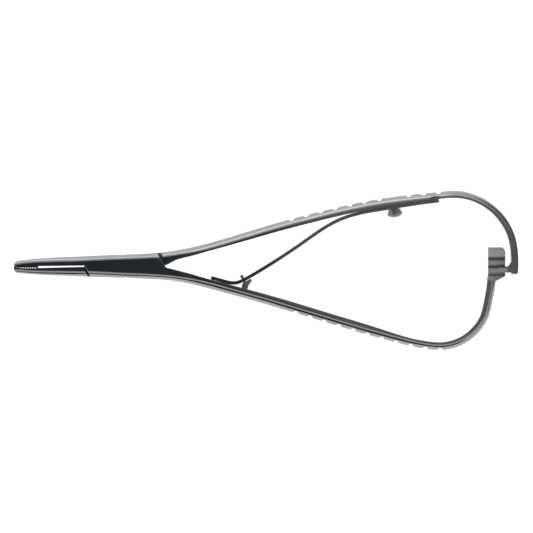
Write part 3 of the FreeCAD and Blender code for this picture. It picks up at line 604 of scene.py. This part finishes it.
def steel(name, colour, roughness, wave=0.010, stroke=0.0012, dull_and_shaded_block=False, shaded_foot=False):
    """Wave and stroke are the depths, in millimetres, of the ground waviness and the brush strokes."""
    material = bpy.data.materials.new(name)
    material.use_nodes = True
    nodes, links = material.node_tree.nodes, material.node_tree.links
    shader = nodes["Principled BSDF"]
    shader.inputs["Metallic"].default_value = 1.0
    place = nodes.new("ShaderNodeTexCoord").outputs["Object"]
    clouds = noise_at(nodes, links, place, CLOUD_SCALE, CLOUD_DETAIL)
    tone = nodes.new("ShaderNodeValToRGB")
    tone.color_ramp.elements[0].position = CLOUD_FROM
    tone.color_ramp.elements[1].position = CLOUD_TO
    tone.color_ramp.elements[0].color = (*[c * CLOUD_TONE for c in colour], 1.0)
    tone.color_ramp.elements[1].color = (*colour, 1.0)
    links.new(clouds, tone.inputs["Fac"])
    paint = tone.outputs["Color"]
    haze = ranged(nodes, links, clouds, HAZE_FROM, HAZE_TO, roughness * (1 - HAZE_SPREAD),
                  roughness * (1 + HAZE_SPREAD), soft=False)
    if dull_and_shaded_block:
        share, y = dull_and_shade_share(nodes, links, place)
        # Painted shade: the block's dull colour is darkened in each tooth root and lightens up its flank.
        dull_colour_and_shade = mix_of(nodes, links, "RGBA", 1.0, DULL_COLOUR, tooth_shade(nodes, links, y), "MULTIPLY")
        paint = mix_of(nodes, links, "RGBA", share, paint, dull_colour_and_shade)
        haze = mix_of(nodes, links, "FLOAT", share, haze, DULL_ROUGHNESS)
    # Painted shade: the leaf's foot, before FOOT_END along X, is darkened where it lies on the lower handle.
    if shaded_foot:
        split = nodes.new("ShaderNodeSeparateXYZ")
        links.new(place, split.inputs[0])
        foot_shade = ranged(nodes, links, split.outputs["X"], FOOT_END, FOOT_END + FOOT_BLEND, FOOT_SHADE, 1.0)
        paint = mix_of(nodes, links, "RGBA", 1.0, paint, foot_shade, "MULTIPLY")
    links.new(paint, shader.inputs["Base Color"])
    links.new(haze, shader.inputs["Roughness"])
    height = None
    for scale, stretch, depth in ((WAVE_SCALE, WAVE_STRETCH, wave), (STROKE_SCALE, STROKE_STRETCH, stroke)):
        bump = nodes.new("ShaderNodeBump")
        bump.inputs["Strength"].default_value = MARK_STRENGTH
        bump.inputs["Distance"].default_value = depth * MM
        links.new(noise_at(nodes, links, place, scale, MARK_DETAIL, stretch), bump.inputs["Height"])
        if height:
            links.new(height, bump.inputs["Normal"])
        height = bump.outputs["Normal"]
    links.new(height, shader.inputs["Normal"])
    print(name, len(nodes), "nodes, roughness", roughness)
    return material


satin_steel = steel("satin_steel", (0.60, 0.585, 0.59), 0.16, dull_and_shaded_block=True)
leaf_steel = steel("spring_steel_dark", (0.42, 0.40, 0.41), 0.42, wave=0.004, stroke=0.003, shaded_foot=True)
keeper_steel = steel("keeper_steel", (0.60, 0.56, 0.55), 0.5, wave=0.008, stroke=0.004)
# Painted shade: a dark steel for the milled shoulders beside the box, standing in for the shade in those
# recesses.
shoulder_shade_steel = steel("shoulder_shade_steel", (0.20, 0.20, 0.205), 0.40, wave=0.002, stroke=0.006)
turned_steel = steel("screw_steel_warm", (0.47, 0.43, 0.42), 0.42, wave=0.004)

# %% [markdown]
# Each piece gets the finish of its own making: polished forgings, a tumbled spring, a filed keeper
# and a turned screw. The pin's end is ground down together with the box, so it has the same steel.
# The shoulders and the tongue are milled, and these faces of the shank get a second, much darker
# material, in a second slot of the same mesh: painted shade in the recesses beside the box.

# %% Dress the pieces
SHOULDER_FACING = 0.8
SHOULDER_FROM, SHOULDER_TO = 11 * MM, 14.2 * MM
TONGUE_REACH = 1.2 * MM


def dress(piece, material):
    piece.data.materials.clear()
    piece.data.materials.append(material)


def on_shoulder(face):
    """The milled walls beside the box, and the tongue between them."""
    middle = face.calc_center_median()
    wall = abs(face.normal.x) > SHOULDER_FACING and SHOULDER_FROM < abs(middle.x) < SHOULDER_TO
    tongue = abs(face.normal.z) > 0.99 and abs(middle.z - MIDDLE) < TONGUE_REACH
    return wall or tongue


for piece, material in ((box_forging, satin_steel), (shank_forging, satin_steel),
                        (keeper_hook, keeper_steel), (screw, turned_steel), (leaf_strip, leaf_steel)):
    dress(piece, material)
frame["nodes"]["pivot_pin"].material_slots[0].material = satin_steel
# The darker second material on the shoulders and the tongue is painted shade.
shank_forging.data.materials.append(shoulder_shade_steel)
count = pick_parts(shank_forging, "FACE", on_shoulder)
shank_forging.active_material_index = 1
bpy.ops.object.material_slot_assign()
bpy.ops.object.mode_set(mode="OBJECT")
print(count, "faces of the lock are left as milled")

# %% [markdown]
# The photograph looks straight down on the instrument. Its surroundings are white, the instrument
# mirrors a dark ceiling overhead, and large soft lamps stand beside it. The floor shows white to
# the camera, and is only pale in reflections, so that it doesn't over-light the steel. Reflections
# see it darken past the ends of the handles, as they do in the photograph.

# %% What reflections see of the floor
PALE_FRONT, PALE_BEHIND = (0.74, 0.695, 0.71, 1.0), (0.70, 0.70, 0.715, 1.0)
FRONT_TO_BEHIND = (-0.012, 0.012)
FLOOR_DARK = (0.08, 0.078, 0.08, 1.0)
PAST_END = (0.129, 0.133)             # along X, past the end of the upper handle
END_BEHIND, END_FRONT = (0.012, 0.006), (-0.012, -0.005)
PAST_BOWS, BOW_SLANT = (0.129, 0.139), 0.15


def floor_mirrored(nodes, links):
    """Pale, warmer in front than behind, and dark past the handles' ends."""
    place = nodes.new("ShaderNodeSeparateXYZ")
    links.new(nodes.new("ShaderNodeTexCoord").outputs["Object"], place.inputs[0])
    x, y = place.outputs["X"], place.outputs["Y"]
    across = math_of(nodes, links, "MULTIPLY", ranged(nodes, links, y, *END_BEHIND),
                     ranged(nodes, links, y, *END_FRONT))
    past_end = math_of(nodes, links, "MULTIPLY", ranged(nodes, links, x, *PAST_END), across)
    slanting = math_of(nodes, links, "ADD", x, math_of(nodes, links, "MULTIPLY", y, BOW_SLANT))
    past_bows = ranged(nodes, links, slanting, *PAST_BOWS)
    dark_share = math_of(nodes, links, "MAXIMUM", past_end, past_bows)
    pale = mix_of(nodes, links, "RGBA", ranged(nodes, links, y, *FRONT_TO_BEHIND), PALE_FRONT, PALE_BEHIND)
    return mix_of(nodes, links, "RGBA", dark_share, pale, FLOOR_DARK)


# %% [markdown]
# Light Path tells which kind of ray meets the floor. The camera sees a matt floor that is lifted
# to white by a glow, and keeps the instrument's shadow. A mirror ray sees the colours above, and any
# other ray sees plain matt.

# %% Floor
MATT_WHITE = (0.8, 0.8, 0.8, 1.0)
WHITE_LIFT = 0.91
FLOOR_SIZE, FLOOR_PLACE = 6.0, (0.05, 0.0, -0.0002)

white_floor = bpy.data.materials.new("white_floor")
white_floor.use_nodes = True
floor_nodes, floor_links = white_floor.node_tree.nodes, white_floor.node_tree.links
floor_nodes.clear()
floor_output = floor_nodes.new("ShaderNodeOutputMaterial")
rays = floor_nodes.new("ShaderNodeLightPath")
matt = floor_nodes.new("ShaderNodeBsdfDiffuse")
matt.inputs["Color"].default_value = MATT_WHITE
seen = floor_nodes.new("ShaderNodeEmission")
seen.inputs["Strength"].default_value = WHITE_LIFT
mirrored = floor_nodes.new("ShaderNodeEmission")
seen_floor = floor_nodes.new("ShaderNodeAddShader")
for_mirror = floor_nodes.new("ShaderNodeMixShader")
for_camera = floor_nodes.new("ShaderNodeMixShader")
for output, socket in ((floor_mirrored(floor_nodes, floor_links), mirrored.inputs["Color"]),
                       (matt.outputs[0], seen_floor.inputs[0]),
                       (seen.outputs[0], seen_floor.inputs[1]),
                       (rays.outputs["Is Glossy Ray"], for_mirror.inputs[0]),
                       (matt.outputs[0], for_mirror.inputs[1]),
                       (mirrored.outputs[0], for_mirror.inputs[2]),
                       (rays.outputs["Is Camera Ray"], for_camera.inputs[0]),
                       (for_mirror.outputs[0], for_camera.inputs[1]),
                       (seen_floor.outputs[0], for_camera.inputs[2]),
                       (for_camera.outputs[0], floor_output.inputs["Surface"])):
    floor_links.new(output, socket)

bpy.ops.object.select_all(action="DESELECT")
bpy.ops.mesh.primitive_plane_add(size=FLOOR_SIZE, location=FLOOR_PLACE)
floor = bpy.context.object
floor.name = "floor"
bpy.ops.object.transform_apply(location=True, rotation=True, scale=True)
dress(floor, white_floor)
print("floor", FLOOR_SIZE, "m,", len(floor_nodes), "nodes")

# %% [markdown]
# The polished box mirrors something darker than the handles and bows do, though all of them lie
# flat: a dark card hangs over the jaws and the box, and ends before the grips. Only reflections see
# it, and its edge is as soft as the steel's haze makes it. The lamp of the next cell is made in the
# same way, so a helper hangs either of them.

# %% Dark card overhead
CARD_LEFT, CARD_RIGHT = -0.22, 0.045
CARD_DEPTH, CARD_HEIGHT = 0.36, 0.30
CARD_COLOUR = (0.022, 0.030, 0.034, 1.0)


def hang(name, paint_name, colour, place, size, tilt=0):
    """A glowing board that only reflections see."""
    paint = bpy.data.materials.new(paint_name)
    paint.use_nodes = True
    glow = paint.node_tree.nodes.new("ShaderNodeEmission")
    glow.inputs["Color"].default_value = colour
    paint.node_tree.links.new(glow.outputs[0], paint.node_tree.nodes["Material Output"].inputs[0])
    bpy.ops.object.select_all(action="DESELECT")
    bpy.ops.mesh.primitive_plane_add(size=1, rotation=(math.radians(tilt), 0, 0), location=place)
    board = bpy.context.object
    board.name = name
    board.scale = (size[0], size[1], 1)
    bpy.ops.object.transform_apply(location=True, rotation=True, scale=True)
    dress(board, paint)
    board.visible_camera = False
    board.visible_diffuse = False
    board.visible_shadow = False
    print(name, "hangs at", [round(v, 3) for v in place], "m")
    return board


card = hang("dark_card", "card", CARD_COLOUR, ((CARD_LEFT + CARD_RIGHT) / 2, 0.0, CARD_HEIGHT),
            (CARD_RIGHT - CARD_LEFT, CARD_DEPTH))

# %% [markdown]
# One long lamp stands behind the instrument. It ends beside the bows, so the bright line that it
# draws along the crown fades out there, as it does in the photograph.

# %% Long lamp behind
STRIP_LEFT, STRIP_RIGHT = -0.50, 0.100
STRIP_AWAY, STRIP_LOW, STRIP_HIGH = 0.35, 0.050, 0.150
STRIP_COLOUR = (1.26, 1.27, 1.30, 1.0)

strip = hang("long_lamp", "strip", STRIP_COLOUR,
             ((STRIP_LEFT + STRIP_RIGHT) / 2, STRIP_AWAY, (STRIP_LOW + STRIP_HIGH) / 2),
             (STRIP_RIGHT - STRIP_LEFT, STRIP_HIGH - STRIP_LOW), tilt=90)

# %% [markdown]
# A mirror looks like what stands round it, so the room matters as much as the steel. Each wall is a
# colour ramp from the horizon (0) to overhead (1), and all of them meet in the same ceiling. The
# direction of a ray then says which walls it falls between. This is one world shader rather than
# many lamps, because the lamps of a studio are large and soft.

# %% Walls of the room
CEILING = (0.140, 0.142, 0.146)
FAR_WALL = ((0.0, (0.62, 0.63, 0.66)), (0.30, (0.72, 0.74, 0.77)), (0.42, (0.62, 0.65, 0.68)),
            (0.50, (0.50, 0.54, 0.56)), (0.74, (0.28, 0.31, 0.32)), (0.9, (0.16, 0.175, 0.18)),
            (0.97, CEILING))
NEAR_WALL = ((0.0, (0.008, 0.008, 0.010)), (0.40, (0.012, 0.011, 0.013)), (0.52, (0.50, 0.46, 0.48)),
             (0.60, (0.66, 0.61, 0.64)), (0.72, (0.48, 0.44, 0.47)), (0.84, (0.32, 0.30, 0.32)),
             (0.92, (0.21, 0.20, 0.21)), (0.97, CEILING))
END_WALL = ((0.0, (0.18, 0.18, 0.19)), (0.3, (0.18, 0.18, 0.19)), (0.5, (0.22, 0.22, 0.225)),
            (0.8, (0.19, 0.19, 0.19)), (0.96, CEILING))
CORNER_WALL = ((0.0, (0.58, 0.53, 0.55)), (0.5, (0.66, 0.62, 0.64)), (0.7, (0.50, 0.47, 0.49)),
               (0.86, (0.26, 0.25, 0.26)), (0.97, CEILING))
LEFT_WALL = ((0.0, (0.75, 0.75, 0.76)), (0.5, (0.9, 0.9, 0.9)), (0.8, (0.4, 0.4, 0.4)), (0.96, CEILING))

world = bpy.data.worlds.new("studio")
bpy.context.scene.world = world
world.use_nodes = True
wn, wl = world.node_tree.nodes, world.node_tree.links
split = wn.new("ShaderNodeSeparateXYZ")
wl.new(wn.new("ShaderNodeTexCoord").outputs["Generated"], split.inputs[0])


def wall(stops):
    """Brightness of one wall from the horizon (0) to overhead (1)."""
    ramp = wn.new("ShaderNodeValToRGB")
    while len(ramp.color_ramp.elements) > 1:
        ramp.color_ramp.elements.remove(ramp.color_ramp.elements[-1])
    for i, (height, colour) in enumerate(stops):
        stop = ramp.color_ramp.elements[0] if i == 0 else ramp.color_ramp.elements.new(height)
        stop.position = height
        stop.color = (*colour, 1.0)
    wl.new(split.outputs["Z"], ramp.inputs["Fac"])
    return ramp.outputs["Color"]


room_walls = [wall(stops) for stops in (FAR_WALL, NEAR_WALL, END_WALL, CORNER_WALL, LEFT_WALL)]
far_wall, near_wall, end_wall, corner_wall, left_wall = room_walls
print("room of", len(room_walls), "walls under one ceiling")

# %% [markdown]
# The walls run softly into each other, each pair over its own range of directions. The end wall
# stands askew, so its share depends on both directions. The camera itself sees plain white.

# %% The room round the instrument
NEAR_TO_FAR = (-0.15, 0.25)
TO_CORNER = (0.35, 0.62)
TO_END, END_LEAN = (0.66, 0.95), 0.4
TO_LEFT = (-0.35, -0.95)


def blended(share, one, two):
    return mix_of(wn, wl, "RGBA", share, one, two)


along, across = split.outputs["X"], split.outputs["Y"]
sides = blended(ranged(wn, wl, along, *TO_CORNER),
                blended(ranged(wn, wl, across, *NEAR_TO_FAR), near_wall, far_wall), corner_wall)
leaning = math_of(wn, wl, "ADD", along, math_of(wn, wl, "MULTIPLY", across, END_LEAN))
with_end = blended(ranged(wn, wl, leaning, *TO_END), sides, end_wall)
walls = blended(ranged(wn, wl, along, *TO_LEFT), with_end, left_wall)
room = wn["Background"]
white = wn.new("ShaderNodeBackground")
white.inputs["Color"].default_value = (1.0, 1.0, 1.0, 1.0)
world_rays = wn.new("ShaderNodeLightPath")
world_mix = wn.new("ShaderNodeMixShader")
for output, socket in ((walls, room.inputs["Color"]),
                       (world_rays.outputs["Is Camera Ray"], world_mix.inputs[0]),
                       (room.outputs[0], world_mix.inputs[1]),
                       (white.outputs[0], world_mix.inputs[2]),
                       (world_mix.outputs[0], wn["World Output"].inputs["Surface"])):
    wl.new(output, socket)
print("world", len(wn), "nodes")

# %% [markdown]
# The photograph was taken from far above, with hardly any perspective. The camera hangs 2.4 m over
# the instrument's middle plane, and its focal length is set so that one pixel covers the size that
# was measured. Standard keeps the colours as written.

# %% Camera
PIXEL = 0.3375 * MM                   # what one pixel of the photograph covers
PICTURE_SIZE = 533                    # pixels, both ways
PICTURE_CENTRE = 266.5
PIVOT_COLUMN, PIVOT_ROW = 124.5, 266.2
CAMERA_HEIGHT = 2.4
SENSOR = 36.0

camera_data = bpy.data.cameras.new("camera")
camera = bpy.data.objects.new("camera", camera_data)
bpy.context.scene.collection.objects.link(camera)
camera.location = ((PICTURE_CENTRE - PIVOT_COLUMN) * PIXEL, (PIVOT_ROW - PICTURE_CENTRE) * PIXEL,
                   MIDDLE + CAMERA_HEIGHT)
camera_data.sensor_width = SENSOR
camera_data.lens = SENSOR * CAMERA_HEIGHT / (PICTURE_SIZE * PIXEL)
camera_data.clip_start = 0.01
bpy.context.scene.camera = camera
bpy.context.scene.view_settings.view_transform = "Standard"
print("camera", round(camera_data.lens), "mm lens at", [round(v, 4) for v in camera.location], "m")
